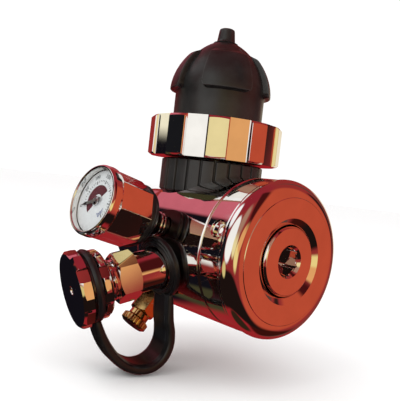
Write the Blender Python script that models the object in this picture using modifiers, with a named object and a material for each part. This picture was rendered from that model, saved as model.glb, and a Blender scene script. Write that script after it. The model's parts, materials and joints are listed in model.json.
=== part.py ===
"""First stage of a scuba regulator with a pressure gauge and a capped outlet.

The origin is the centre of the body's rear face. +X runs forward along the main
axis, +Z up along the cylinder connection, and the ports are on the -Y side.
Lengths are millimetres here and become metres when a mesh is made. A turned part
is a list of (radius, height) points along its own axis.
"""
import math

import bpy
import bmesh
from mathutils import Matrix, Vector

MM = 0.001
GAP = 0.3

# Stations on the main axis and the directions of the side ports, in degrees above
# horizontal and towards the front.
X_DIN = 34.0
X_RECESS = 53.6
X_SEAM = 58.7
X_FACE = 71.5
GAUGE_PORT = (32.5, 14.55, 3.2)
OUTLET_PORT = (46.5, -15.7, -9.3)
X_BARREL_EYE = 42.5
RELIEF_PORT = (30.0, -51.0, 0.0)
SPARE_PORTS = ((46.0, 24.0), (46.0, -24.0))

# Main radii.
R_BODY = 22.5
R_TAIL = 15.4
R_RECESS = 19.8
R_CHAMBER = 12.0
R_VALVE = 8.0
R_ADJUSTER = 9.9
R_WHEEL = 21.45
R_THREAD = 11.3
R_COLLAR = 16.45
R_POCKET = 16.8
R_SKIRT = 14.5
R_PAD = 16.5
R_BARREL = 5.9
R_PLUG = 10.75
R_EYE = 9.2

# Heights on the cylinder connection.
Z_POCKET = 14.7
Z_WHEEL = 26.6
Z_WHEEL_TOP = 39.1
Z_THREAD_TOP = 52.0
Z_PAD = 48.3
Z_DOME = 65.5
Z_NUB = 69.9

LOBES, LOBE_WIDTH, LOBE_PHASE = 10, 14.4, -21.2
RIBS = 24
PADS, PAD_WIDTH, PAD_PHASE = 4, 58.0, -34.0
PLUG_LOBES, PLUG_LOBE_WIDTH, PLUG_PHASE = 8, 22.0, 10.0
NEEDLE_AT_REST = 197.0

CHROME = ((0.78, 0.77, 0.75), 0.08, 1.0)
STEEL = ((0.55, 0.55, 0.56), 0.3, 1.0)
BRASS = ((0.72, 0.53, 0.25), 0.25, 1.0)
BRONZE = ((0.45, 0.30, 0.16), 0.6, 1.0)
RUBBER = ((0.012, 0.012, 0.013), 0.45, 0.0)
BLACK_PLASTIC = ((0.02, 0.02, 0.02), 0.4, 0.0)
DIAL_WHITE = ((0.85, 0.85, 0.84), 0.5, 0.0)
NEEDLE_BLACK = ((0.03, 0.02, 0.02), 0.4, 0.0)
CLEAR = ((0.9, 0.95, 0.95), 0.02, 0.0)
SEAT_PLASTIC = ((0.7, 0.68, 0.6), 0.35, 0.0)

for old in list(bpy.data.objects):
    bpy.data.objects.remove(old)
parts = bpy.data.collections.new("regulator_first_stage")
cutters = bpy.data.collections.new("cutters")
bpy.context.scene.collection.children.link(parts)
bpy.context.scene.collection.children.link(cutters)


# ---- helpers -------------------------------------------------------------------
def axis_empty(name, origin, direction):
    """Empty whose z runs along a direction and whose y leans up."""
    z = Vector(direction).normalized()
    hint = Vector((0, 0, 1)) if abs(z.z) < 0.95 else Vector((-1, 0, 0))
    x = hint.cross(z).normalized()
    empty = bpy.data.objects.new(name, None)
    parts.objects.link(empty)
    empty.matrix_world = Matrix.Translation(Vector(origin) * MM) @ Matrix((x, z.cross(x), z)).transposed().to_4x4()
    return empty


def port_empty(name, station, rise, lean=0.0, side=-1.0):
    a, b = math.radians(rise), math.radians(lean)
    direction = (math.sin(b), side * math.cos(a) * math.cos(b), math.sin(a) * math.cos(b))
    return axis_empty(name, (station, 0, 0), direction)


def spot(axis, height):
    """World point on an axis, in millimetres."""
    return (axis.matrix_world @ Vector((0, 0, height * MM))) / MM


def put(name, data, axis, finish):
    """Link an object on its axis, as a part with a material, or as a cutter if finish is None."""
    obj = bpy.data.objects.new(name, data)
    obj.parent = axis
    if finish is None:
        cutters.objects.link(obj)
        obj.hide_render = True
        obj.display_type = "WIRE"
        return obj
    parts.objects.link(obj)
    colour, roughness, metallic = finish
    material = bpy.data.materials.new(name)
    material.use_nodes = True
    shader = material.node_tree.nodes["Principled BSDF"]
    shader.inputs["Base Color"].default_value = (*colour, 1.0)
    shader.inputs["Roughness"].default_value = roughness
    shader.inputs["Metallic"].default_value = metallic
    data.materials.append(material)
    return obj


def mesh_from(name, bm):
    mesh = bpy.data.meshes.new(name)
    bm.to_mesh(mesh)
    bm.free()
    return mesh


def turned(name, profile, axis, finish, steps=32):
    """Turn a profile about its axis; one that starts and ends at radius 0 is solid."""
    open_ended = profile[0][0] == 0 and profile[-1][0] == 0
    loop = list(zip(profile, profile[1:] + profile[:1]))
    if sum(r0 * t1 - r1 * t0 for (r0, t0), (r1, t1) in loop) > 0:
        profile = profile[::-1]
    bm = bmesh.new()
    points = [bm.verts.new((r * MM, 0, t * MM)) for r, t in profile]
    for start, end in zip(points, points[1:]):
        bm.edges.new((start, end))
    if not open_ended:
        bm.edges.new((points[-1], points[0]))
    obj = put(name, mesh_from(name, bm), axis, finish)
    screw = obj.modifiers.new("turn", "SCREW")
    screw.steps = screw.render_steps = steps
    screw.use_merge_vertices = True
    screw.merge_threshold = 0.00001
    return obj


def ring(height, radius, angles):
    """Points at one height; radius is a number or a function of the angle in degrees."""
    radii = [radius(a) if callable(radius) else radius for a in angles]
    turns = [math.radians(a) for a in angles]
    return [Vector((r * math.cos(a), r * math.sin(a), height)) for r, a in zip(radii, turns)]


def loft(name, rings, axis, finish, hollow=False):
    """Skin between unlike sections; a hollow one joins its last section to its first."""
    bm = bmesh.new()
    rows = [[bm.verts.new(point * MM) for point in row] for row in rings]
    pairs = list(zip(rows, rows[1:])) + ([(rows[-1], rows[0])] if hollow else [])
    for low, high in pairs:
        for i in range(len(low)):
            j = (i + 1) % len(low)
            bm.faces.new((low[i], low[j], high[j], high[i]))
    if not hollow:
        bm.faces.new(rows[0])
        bm.faces.new(rows[-1])
    bmesh.ops.recalc_face_normals(bm, faces=bm.faces)
    return put(name, mesh_from(name, bm), axis, finish)


def rod(name, radius, low, high, axis, segments=24):
    """Cylindrical cutter between two heights of an axis."""
    bm = bmesh.new()
    place = Matrix.Translation((0, 0, (low + high) / 2 * MM))
    bmesh.ops.create_cone(bm, cap_ends=True, segments=segments, radius1=radius * MM, radius2=radius * MM,
                          depth=(high - low) * MM, matrix=place)
    return put(name, mesh_from(name, bm), axis, None)


def drilling(name, radius, start, end):
    """Cylindrical cutter between two points."""
    run = Vector(end) - Vector(start)
    return rod(name, radius, 0, run.length, axis_empty(name + "_axis", start, run), 12)


def boolean(target, tool, operation="DIFFERENCE"):
    mod = target.modifiers.new(tool.name, "BOOLEAN")
    mod.operation = operation
    mod.object = tool


def coil(name, mean, wire, low, high, turns, axis, finish, steps=9):
    """Compression spring as a bevelled curve."""
    count = int(turns * steps) + 1
    curve = bpy.data.curves.new(name, "CURVE")
    curve.dimensions = "3D"
    curve.bevel_depth = wire * MM
    curve.bevel_resolution = 1
    curve.use_fill_caps = True
    spline = curve.splines.new("POLY")
    spline.points.add(count - 1)
    for i, point in enumerate(spline.points):
        a = 2 * math.pi * i / steps
        height = low + wire + (high - low - 2 * wire) * i / (count - 1)
        point.co = (mean * math.cos(a) * MM, mean * math.sin(a) * MM, height * MM, 1)
    obj = put(name, curve, axis, finish)
    obj.modifiers.new("flat_faces", "TRIANGULATE")
    return obj


def polygon(sides, across, phase=0.0):
    """Radius function of a regular polygon, from its width across flats."""
    step = 360.0 / sides
    return lambda a: across / 2 / math.cos(math.radians((a - phase + step / 2) % step - step / 2))


def lobed(count, outer, dip, width, phase):
    """Radius function of round lobes with shallow scallops between them."""
    step = 360.0 / count

    def radius(a):
        off = abs((a - phase + step / 2) % step - step / 2)
        share = max(0.0, (off - width / 2) / (step / 2 - width / 2))
        return outer - dip * math.sin(share * math.pi / 2)

    return radius


def stepped(count, width, high, low, phase):
    """Radius function with raised lands of one angular width."""
    step = 360.0 / count
    return lambda a: high if abs((a - phase + step / 2) % step - step / 2) < width / 2 else low


def spread(count, offsets, phase=0.0):
    """Angles at the same offsets in every one of count equal sectors."""
    return [phase + 360.0 * i / count + off for i in range(count) for off in offsets]


def less(radius, step):
    return lambda a: radius(a) - step


def capped(radius, limit):
    return lambda a: min(radius(a), limit)


# ---- the axes everything is turned about ---------------------------------------
main = axis_empty("main_axis", (0, 0, 0), (1, 0, 0))
din = axis_empty("din_axis", (X_DIN, 0, 0), (0, 0, 1))
gauge = port_empty("gauge_axis", *GAUGE_PORT)
outlet = port_empty("outlet_axis", *OUTLET_PORT)
barrel_eye = port_empty("barrel_eye_axis", X_BARREL_EYE, OUTLET_PORT[1])
relief = port_empty("relief_axis", *RELIEF_PORT)
spares = [port_empty("spare_axis_%d" % i, *port, side=1.0) for i, port in enumerate(SPARE_PORTS)]
bpy.context.view_layer.update()


# ---- body ----------------------------------------------------------------------
def make_body():
    """Casting with its front chambers, the collar pocket, and the drilled ports."""
    shoulder = [(16.0, 15.5), (17.6, 19.2), (19.6, 23.2), (21.4, 27.4), (22.3, 31.4)]
    body = turned("body", [
        (0, 0), (11.8, 0), (14.4, 1.4), (R_TAIL - 0.1, 3.8), (R_TAIL, 12.0), *shoulder, (R_BODY, 35.0),
        (R_BODY, X_SEAM - 0.5), (R_BODY - 0.4, X_SEAM), (R_RECESS, X_SEAM), (R_RECESS, X_RECESS),
        (R_CHAMBER, X_RECESS), (R_CHAMBER, 44.0), (R_VALVE, 44.0), (R_VALVE, 20.0), (4.0, 20.0), (4.0, 9.0),
        (0, 9.0)], main, CHROME, 40)
    boolean(body, rod("cut_collar_pocket", R_POCKET, Z_POCKET, 40, din, 32))
    boolean(body, rod("cut_spindle_bore", 5.1, 9.6, 16, din, 20))
    boolean(body, rod("cut_inlet", 2.0, 5, 11, din, 12))
    boolean(body, rod("cut_gauge_port", 3.5, 14.0, 30, gauge, 18))
    boolean(body, rod("cut_outlet_port", 4.5, 14.0, 30, outlet, 20))
    boolean(body, rod("cut_relief_port", 3.6, 15.5, 30, relief, 18))
    boolean(body, rod("cut_gauge_way", 0.8, 7.0, 15.0, gauge, 12))
    boolean(body, drilling("cut_outlet_way", 2.2, spot(outlet, 15.0), (49.5, -10.5, -3.2)))
    boolean(body, drilling("cut_relief_way", 1.2, spot(relief, 16.5), (46.5, -7.0, -8.0)))
    for i, axis in enumerate(spares):
        boolean(body, rod("cut_spare_port_%d" % i, 4.1, 14, 30, axis, 18))
        boolean(body, rod("cut_spare_way_%d" % i, 1.8, 9, 15, axis, 12))


def make_diaphragm_end():
    """Clamp, adjuster, main spring, diaphragm and lifter, from the front face inwards."""
    clamp = turned("diaphragm_clamp", [
        (R_RECESS - 0.4, 55.2), (R_RECESS - 0.4, X_SEAM + 0.1), (R_BODY - 0.4, X_SEAM + GAP),
        (R_BODY, X_SEAM + 0.8), (R_BODY, 66.4), (22.2, 66.8), (22.7, 67.4), (22.7, 68.6), (22.1, 70.0),
        (20.6, 71.1), (18.1, X_FACE), (12.3, X_FACE), (R_ADJUSTER + 0.4, 69.8),
        (R_ADJUSTER + 0.4, 62.9), (13.0, 62.9), (13.0, 55.2)], main, CHROME, 40)
    for i in range(4):
        a = math.radians(20.0 + 90.0 * i)
        hole = axis_empty("spanner_axis_%d" % i, (63.6, 0, 0), (0, -math.cos(a), math.sin(a)))
        boolean(clamp, rod("cut_spanner_%d" % i, 2.3, 20.6, 26, hole, 10))
    adjuster = turned("adjuster_screw", [
        (0, 64.6), (9.6, 64.6), (R_ADJUSTER, 64.9), (R_ADJUSTER, 71.0), (9.5, 71.4), (4.9, 71.4),
        (4.2, 70.6), (4.2, 70.0), (0, 70.0)], main, CHROME, 28)
    key = [ring(t, polygon(6, 7.4, 10), spread(6, [40])) for t in (66.0, 70.4)]
    boolean(adjuster, loft("cut_adjuster_key", key, main, None))
    turned("spring_washer", [(4.0, 63.2), (9.6, 63.2), (9.6, 64.2), (4.0, 64.2)], main, STEEL, 24)
    coil("main_spring", 8.3, 0.7, 57.6, 62.8, 2, main, STEEL)
    turned("diaphragm_plate", [
        (0, 55.3), (11.0, 55.3), (11.0, 57.2), (6.6, 57.2), (6.6, 59.0), (0, 59.0)], main, BRASS, 24)
    turned("diaphragm", [(0, 53.9), (19.4, 53.9), (19.4, 54.9), (0, 54.9)], main, RUBBER, 32)
    turned("lifter", [
        (0, 37.7), (1.5, 37.7), (1.5, 51.7), (7.0, 51.7), (7.0, 53.5), (0, 53.5)], main, BRASS, 20)


def make_valve():
    """Balanced poppet that closes forwards onto the seat."""
    turned("valve_seat", [
        (2.3, 38.0), (3.0, 37.4), (3.6, 38.0), (7.6, 38.0), (7.6, 44.2), (11.4, 44.2), (11.4, 45.8),
        (2.3, 45.8)], main, BRASS, 20)
    turned("poppet", [
        (0, 12.0), (1.9, 12.0), (2.3, 12.4), (2.3, 33.2), (4.8, 33.2), (4.8, 37.2), (0, 37.2)],
        main, SEAT_PLASTIC, 20)
    coil("poppet_spring", 5.2, 0.6, 22.4, 32.9, 3, main, STEEL)
    turned("balance_sleeve", [(2.6, 9.4), (3.7, 9.4), (3.7, 19.6), (2.6, 19.6)], main, SEAT_PLASTIC, 20)
    turned("balance_oring", [
        (2.6, 21.2), (3.0, 20.4), (4.0, 20.4), (4.4, 21.2), (4.0, 22.0), (3.0, 22.0)], main, RUBBER, 16)


# ---- cylinder connection -------------------------------------------------------
def make_connection():
    """Spindle bolted into the body, and the handwheel that turns on it."""
    turned("din_spindle", [
        (1.8, 10.0), (4.8, 10.0), (4.8, 15.0), (8.9, 15.0), (8.9, 17.8), (4.9, 17.8), (4.9, 47.5),
        (7.6, 47.5), (7.6, 52.4), (7.0, 52.4), (7.0, 51.4), (4.4, 51.4), (4.4, 52.4), (3.4, 52.4),
        (3.4, 46.0), (1.8, 46.0)], din, CHROME, 20)
    around = [2 * math.pi * k / 6 for k in range(6)]
    oring = [(5.7 + 0.85 * math.cos(a), 52.6 + 0.85 * math.sin(a)) for a in around]
    turned("din_face_oring", oring, din, RUBBER, 20)
    turned("din_filter", [(0, 46.4), (3.0, 46.4), (3.0, 47.2), (1.2, 50.8), (0, 50.8)], din, BRONZE, 20)
    turned("filter_clip", [(2.4, 51.2), (3.1, 51.2), (3.1, 51.9), (2.4, 51.9)], din, STEEL, 20)

    angles = spread(LOBES, [-7.2, 7.2, 12.0, 18.0, 24.0], LOBE_PHASE)
    rim = lobed(LOBES, R_WHEEL, 1.25, LOBE_WIDTH, LOBE_PHASE)
    bore, counterbore = 5.4, 8.1
    loft("handwheel", [ring(t, r, angles) for t, r in (
        (Z_WHEEL, bore), (Z_WHEEL, less(rim, 0.8)), (Z_WHEEL + 0.6, rim), (Z_WHEEL_TOP - 0.8, rim),
        (Z_WHEEL_TOP, less(rim, 1.0)), (Z_WHEEL_TOP, R_THREAD), (Z_THREAD_TOP, R_THREAD - 0.4),
        (Z_THREAD_TOP, counterbore), (47.1, counterbore), (47.1, bore))],
        din, CHROME, hollow=True)
    low, high = Z_POCKET + GAP, Z_WHEEL - 0.4
    land = stepped(RIBS, 12, R_COLLAR, R_COLLAR - 0.6, 0)
    loft("grip_collar", [ring(t, r, spread(RIBS, [-5.6, 5.6, 7.5])) for t, r in (
        (low, 9.8), (low, 15.2), (low + 1.2, land), (high, land), (high, 9.8))],
        din, BLACK_PLASTIC, hollow=True)


def make_dust_cap():
    """Screw cap with four raised grip pads and a nub, over the handwheel's thread."""
    edge = PAD_WIDTH / 2
    angles = spread(PADS, [-edge - 0.5, -edge + 0.5, -15, 0, 15, edge - 0.5, edge + 0.5, 37, 53],
                    PAD_PHASE)
    inside = [(56.2, 9.9), (54.2, 12.0), (Z_WHEEL_TOP + 0.5, 12.0)]
    outside = [(Z_WHEEL_TOP + 0.5, R_SKIRT - 0.1), (Z_PAD - 1.4, R_SKIRT)]
    grip = [(Z_PAD - 0.3, 16.3, 14.5), (Z_PAD + 0.2, R_PAD, 14.5), (52.0, 16.0, 14.2), (55.8, 14.7, 13.1),
            (59.0, 12.7, 11.2), (60.4, 11.0, 10.1)]
    outside += [(t, stepped(PADS, PAD_WIDTH, high, low, PAD_PHASE)) for t, high, low in grip]
    outside += [(63.0, 7.4), (Z_DOME, 3.1), (Z_NUB, 2.4)]
    loft("dust_cap", [ring(t, r, angles) for t, r in inside + outside], din, BLACK_PLASTIC)
    turned("dust_cap_seal", [(0, 54.2), (9.6, 54.2), (9.6, 55.4), (0, 55.4)], din, RUBBER, 28)


# ---- gauge ---------------------------------------------------------------------
def make_gauge_joint():
    """Fixed swivel pin screwed into the port, and the neck that turns on it."""
    turned("gauge_adapter", [
        (0.6, 14.6), (3.2, 14.6), (3.2, 23.4), (4.4, 23.5), (4.4, 24.3), (2.2, 24.3), (2.2, 25.4), (1.6, 25.4),
        (1.6, 27.0), (2.2, 27.0), (2.2, 29.0), (0.6, 29.0)], gauge, CHROME, 20)
    turned("gauge_stem_ring", [
        (3.35, 22.85), (4.0, 22.85), (4.2, 23.1), (4.0, 23.3), (3.35, 23.3)], gauge, RUBBER, 20)
    turned("swivel_oring", [(1.75, 25.7), (2.3, 25.7), (2.3, 26.7), (1.75, 26.7)], gauge, RUBBER, 16)
    turned("gauge_stem", [
        (2.6, 24.6), (4.6, 24.6), (4.6, 25.6), (4.1, 26.0), (4.1, 30.2), (0.8, 30.2), (0.8, 29.3), (2.6, 29.3)],
        gauge, CHROME, 20)


def make_gauge_head():
    """Octagonal can with bumper, dial, needle, lens and pressure tube."""
    turned("gauge_bumper", [
        (4.5, 27.1), (8.9, 27.1), (8.9, 28.1), (8.5, 28.4), (9.3, 28.55), (9.6, 29.0), (9.6, 29.8),
        (9.2, 30.2), (4.5, 30.2)], gauge, RUBBER, 24)
    flats = polygon(8, 18.8, 20)
    loft("gauge_can", [ring(t, r, spread(8, [-22.5, -7.5, 7.5], 20)) for t, r in (
        (30.5, 1.7), (30.5, less(flats, 0.2)), (30.9, flats), (41.2, flats), (42.6, 10.2), (44.65, 10.1),
        (45.0, 9.9), (45.0, 9.4), (41.9, 9.4), (41.9, 8.4), (32.2, 8.4), (32.2, 1.7))], gauge, CHROME, hollow=True)
    turned("gauge_dial", [(0.7, 42.3), (9.05, 42.3), (9.05, 42.9), (0.7, 42.9)], gauge, DIAL_WHITE, 28)
    turned("gauge_lens", [(0, 44.1), (9.05, 44.1), (9.05, 44.8), (0, 44.8)], gauge, CLEAR, 28)
    needle = turned("gauge_needle", [
        (0, 41.4), (0.35, 41.4), (0.35, 43.2), (1.25, 43.2), (1.25, 43.8), (0, 43.8)], gauge, NEEDLE_BLACK, 16)
    outline = [(-1.85, -0.5), (6.6, -0.13), (6.6, 0.13), (-1.85, 0.5)]
    pointer = [[Vector((x, y, t)) for x, y in outline] for t in (43.3, 43.6)]
    pointer = loft("join_pointer", pointer, gauge, None)
    pointer.rotation_euler = (0, 0, math.radians(NEEDLE_AT_REST))
    boolean(needle, pointer, "UNION")
    sections = []
    for i in range(19):
        a = math.radians(100 + 15 * i)
        radial = Vector((math.cos(a), math.sin(a), 0))
        around = [2 * math.pi * k / 8 for k in range(8)]
        sections.append([6.2 * radial + Vector((0, 0, 38.0 + 1.0 * math.sin(b))) + 0.6 * math.cos(b) * radial
                         for b in around])
    loft("bourdon_tube", sections, gauge, BRASS)


# ---- capped outlet -------------------------------------------------------------
def make_outlet():
    """Hexagon coupling screwed into the port, with its screw plug and seal."""
    nut = polygon(6, 12.8, 6)
    loft("outlet_coupling", [ring(t, r, spread(6, [-30, -15, 0, 15], 6)) for t, r in (
        (14.4, 2.6), (14.4, 4.2), (24.3, 4.2), (24.3, R_BARREL), (32.3, R_BARREL), (32.8, capped(nut, 6.9)),
        (33.2, nut), (38.2, nut), (38.7, capped(nut, 6.8)), (39.0, 6.0), (44.7, 5.8), (45.3, 5.4), (45.3, 2.6))],
        outlet, CHROME, hollow=True)
    rim = lobed(PLUG_LOBES, R_PLUG, 0.9, PLUG_LOBE_WIDTH, PLUG_PHASE)
    loft("outlet_plug", [ring(t, r, spread(PLUG_LOBES, [-11, 11, 17, 28], PLUG_PHASE)) for t, r in (
        (41.9, 6.3), (41.9, 9.0), (42.5, 9.6), (44.4, 9.6), (44.4, 7.7), (47.4, 7.7), (47.4, 9.6), (47.9, rim),
        (49.9, rim), (50.7, 9.6), (50.7, 1.1), (46.9, 1.1), (46.9, 6.3))],
        outlet, CHROME, hollow=True)
    turned("plug_seal", [(2.0, 45.6), (5.9, 45.6), (5.9, 46.5), (2.0, 46.5)], outlet, RUBBER, 20)


def make_strap():
    """Rubber strap: one eye round the barrel, a hanging loop, one eye in the plug's groove."""
    strap = turned("strap", [
        (6.6, 23.0), (8.8, 23.0), (R_EYE, 23.4), (R_EYE, 24.8), (8.6, 25.3), (6.6, 25.3)], barrel_eye, RUBBER, 26)
    eye = turned("join_plug_eye", [
        (8.0, 44.8), (10.2, 44.8), (10.2, 46.9), (8.0, 46.9)], outlet, None, 26)
    # Along the loop: height on the outlet axis, drop below it, half width, half thickness.
    path = [(24.15, 7.6, 5.3, 1.0), (24.6, 10.9, 5.4, 1.1), (25.3, 15.0, 5.5, 1.25), (25.5, 18.7, 5.6, 1.3),
            (26.5, 22.5, 5.6, 1.3), (29.1, 25.7, 5.6, 1.3), (32.9, 27.1, 5.5, 1.3), (36.9, 26.4, 5.3, 1.3),
            (40.3, 24.1, 5.0, 1.3), (43.0, 20.5, 4.7, 1.3), (44.8, 15.9, 4.4, 1.2), (45.7, 11.2, 4.2, 1.0),
            (45.85, 9.0, 4.0, 0.95)]
    corners = [(-1, -0.5), (-0.9, -1), (0.9, -1), (1, -0.5), (1, 0.5), (0.9, 1), (-0.9, 1), (-1, 0.5)]
    sections = []
    for i, (height, drop, half, thick) in enumerate(path):
        before, after = path[max(i - 1, 0)], path[min(i + 1, len(path) - 1)]
        run = Vector((0, before[1] - after[1], after[0] - before[0])).normalized()
        outward = Vector((0, run.z, -run.y))
        centre = Vector((0, -drop, height))
        sections.append([centre + Vector((u * half, 0, 0)) + v * thick * outward for u, v in corners])
    boolean(strap, loft("join_band", sections, outlet, None), "UNION")
    boolean(strap, eye, "UNION")


# ---- relief valve and spare ports ----------------------------------------------
def make_relief():
    nut = polygon(6, 7.4)
    loft("relief_body", [ring(t, r, spread(6, [-30, -15, 0, 15])) for t, r in (
        (15.8, 1.2), (15.8, 3.3), (22.6, 3.3), (22.9, 3.7), (23.2, nut), (29.8, nut), (30.2, 3.7), (30.6, 3.2),
        (32.0, 3.2), (32.0, 2.3), (18.6, 2.3), (18.6, 1.2))], relief, BRASS, hollow=True)
    turned("relief_poppet", [
        (0, 18.9), (2.0, 18.9), (2.0, 21.4), (0.8, 21.4), (0.8, 24.0), (0, 24.0)], relief, BRASS, 16)
    coil("relief_spring", 1.5, 0.3, 21.7, 31.9, 4, relief, STEEL, 7)
    turned("relief_cap", [
        (1.0, 32.3), (3.9, 32.3), (4.3, 32.7), (4.3, 34.4), (3.9, 34.9), (1.0, 34.9)], relief, BRASS, 18)


def make_port_plugs():
    """Hexagon-socket plugs and their seals in the two unused ports."""
    for i, axis in enumerate(spares):
        plug = turned("port_plug_%d" % i, [
            (0, 15.4), (3.8, 15.4), (3.8, 24.0), (5.8, 24.0), (6.2, 24.4), (6.2, 26.2), (5.6, 26.9), (0, 26.9)],
            axis, CHROME, 20)
        key = [ring(t, polygon(6, 5.0), spread(6, [30])) for t in (24.6, 28.0)]
        boolean(plug, loft("cut_plug_key_%d" % i, key, axis, None))
        turned("port_oring_%d" % i, [(4.1, 22.9), (5.4, 22.9), (5.4, 23.7), (4.1, 23.7)], axis, RUBBER, 20)


make_body()
make_diaphragm_end()
make_valve()
make_connection()
make_dust_cap()
make_gauge_joint()
make_gauge_head()
make_outlet()
make_strap()
make_relief()
make_port_plugs()
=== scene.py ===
"""Looks of the scuba regulator first stage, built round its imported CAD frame.

Each piece is made in its own axis frame in millimetres: z runs along the axis, y leans
up. Heights and radii come from the CAD nodes that the pieces stand for, by span().
"""

import json
import math

import bmesh
import bpy
from mathutils import Matrix, Vector


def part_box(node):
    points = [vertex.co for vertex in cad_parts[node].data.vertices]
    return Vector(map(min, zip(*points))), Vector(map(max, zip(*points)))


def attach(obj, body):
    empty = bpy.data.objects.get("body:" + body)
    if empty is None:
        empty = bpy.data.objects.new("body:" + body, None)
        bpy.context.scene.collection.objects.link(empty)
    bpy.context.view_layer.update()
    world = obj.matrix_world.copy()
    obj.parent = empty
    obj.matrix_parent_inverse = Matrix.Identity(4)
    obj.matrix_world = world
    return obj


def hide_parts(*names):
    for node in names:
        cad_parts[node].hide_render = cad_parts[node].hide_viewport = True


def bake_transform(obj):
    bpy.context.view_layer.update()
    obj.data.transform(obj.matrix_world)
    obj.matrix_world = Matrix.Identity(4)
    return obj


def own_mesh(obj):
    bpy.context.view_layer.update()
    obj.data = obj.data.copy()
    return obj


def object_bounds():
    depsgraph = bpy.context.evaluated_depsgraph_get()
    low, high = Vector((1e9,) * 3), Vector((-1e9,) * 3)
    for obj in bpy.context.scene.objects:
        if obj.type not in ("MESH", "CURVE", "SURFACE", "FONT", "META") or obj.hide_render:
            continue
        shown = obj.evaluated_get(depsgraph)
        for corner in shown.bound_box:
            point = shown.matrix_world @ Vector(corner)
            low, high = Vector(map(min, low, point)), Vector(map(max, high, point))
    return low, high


MM = 0.001
ROUND = 180

# Counts, and angles in degrees. Pitches are in millimetres; stations, heights along the
# outlet and the gap under the object are in metres.
LOBES, LOBE_WIDTH, LOBE_PHASE, LOBE_DIP = 10, 15.5, -21.2, 1.25
RIBS = 24
PADS, PAD_WIDTH, PAD_PHASE = 4, 58.0, -34.0
PLUG_LOBES, PLUG_LOBE_WIDTH, PLUG_PHASE = 8, 24.0, 10.0
DIAL_TURN = 47.0
SCALE_START, SCALE_SWEEP = 150.0, 240.0
CAP_PITCH, PLUG_PITCH = 1.814, 1.411
SPANNER_HOLES, SPANNER_PHASE, SPANNER_STATION = 4, 20.0, 0.0636
EYE_HEIGHT, STRAP_BEND_START, STRAP_BEND_END = 0.0248, 0.0278, 0.0436
FLOOR_GAP = 0.0004

# The camera, from its direction, its distance to where the two main axes cross, and its aim.
CAMERA_AZIMUTH, CAMERA_ELEVATION, CAMERA_ROLL = 49.11, 5.86, 6.49
CAMERA_DISTANCE = 0.17893
CAMERA_AIM_RIGHT, CAMERA_AIM_UP = -0.00264, 0.01342
CAMERA_LENS = 48.49

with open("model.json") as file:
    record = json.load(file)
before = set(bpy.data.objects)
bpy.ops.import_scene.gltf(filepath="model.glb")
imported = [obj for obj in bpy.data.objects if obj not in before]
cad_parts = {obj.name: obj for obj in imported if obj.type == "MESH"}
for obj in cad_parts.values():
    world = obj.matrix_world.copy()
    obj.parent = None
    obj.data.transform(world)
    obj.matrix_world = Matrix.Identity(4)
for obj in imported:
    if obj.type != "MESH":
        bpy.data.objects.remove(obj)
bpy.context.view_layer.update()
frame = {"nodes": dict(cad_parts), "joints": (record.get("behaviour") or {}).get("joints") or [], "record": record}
record = frame["record"]
joints = {joint["name"]: joint for joint in frame["joints"]}
body_of_node = {node: body for body, nodes in record["behaviour"]["bodies"].items() for node in nodes}
slot_of_node = {part["node"]: part["material_slot"] for part in record["subparts"]}


# ---- axes and sizes from the frame ---------------------------------------------
def axis_frame(origin, direction):
    """Matrix whose z runs along a direction and whose y leans up."""
    z = Vector(direction).normalized()
    hint = Vector((0, 0, 1)) if abs(z.z) < 0.95 else Vector((-1, 0, 0))
    x = hint.cross(z).normalized()
    return Matrix.Translation(Vector(origin)) @ Matrix((x, z.cross(x), z)).transposed().to_4x4()


def joint_axis(name):
    return axis_frame(joints[name]["pos_m"], joints[name]["axis"])


def middle(node):
    """Centre of a CAD node's box."""
    low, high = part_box(node)
    return (low + high) / 2


def radial_axis(point, direction):
    """Axis through a point, starting where it is level with the main axis."""
    direction = Vector(direction).normalized()
    return axis_frame(point - direction * (point.y / direction.y), direction)


main = joint_axis("adjuster_turn")
din = joint_axis("handwheel_turn")
gauge = joint_axis("gauge_swivel")
outlet = joint_axis("plug_turn")
relief = radial_axis(middle("relief_cap"), joints["relief_lift"]["axis"])
spares = []
for port in (middle("port_plug_0"), middle("port_plug_1")):
    spares.append(radial_axis(port, (0, port.y, port.z)))


def span(node, axis):
    """Lowest and highest point of a CAD node along an axis, and its radius, in millimetres."""
    inverse = axis.inverted()
    points = [inverse @ vertex.co / MM for vertex in frame["nodes"][node].data.vertices]
    heights = [point.z for point in points]
    return min(heights), max(heights), max(point.xy.length for point in points)


# ---- mesh helpers --------------------------------------------------------------
def softened(profile, closed):
    """Profile whose corners with a third value are rounded to that radius."""
    points = []
    last = len(profile) - 1
    for i, corner in enumerate(profile):
        here = Vector(corner[:2])
        if len(corner) < 3 or (not closed and i in (0, last)):
            points.append(here)
            continue
        back = Vector(profile[i - 1][:2]) - here
        ahead = Vector(profile[(i + 1) % len(profile)][:2]) - here
        half = back.angle(ahead) / 2
        reach = min(corner[2] / math.tan(half), 0.48 * back.length, 0.48 * ahead.length)
        radius = reach * math.tan(half)
        centre = here + (back.normalized() + ahead.normalized()).normalized() * (radius / math.sin(half))
        start = here + back.normalized() * reach - centre
        turn = start.angle_signed(here + ahead.normalized() * reach - centre)
        steps = max(2, math.ceil(abs(turn) / math.radians(14)))
        points += [centre + Matrix.Rotation(-turn * k / steps, 2) @ start for k in range(steps + 1)]
    return points


def arc(centre_r, centre_t, radius_r, radius_t, start, end, steps=10):
    """Points of an elliptical arc in a profile, angles in degrees from outwards towards up."""
    angles = [math.radians(start + (end - start) * k / steps) for k in range(steps + 1)]
    return [(centre_r + radius_r * math.cos(a), centre_t + radius_t * math.sin(a)) for a in angles]


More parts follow.
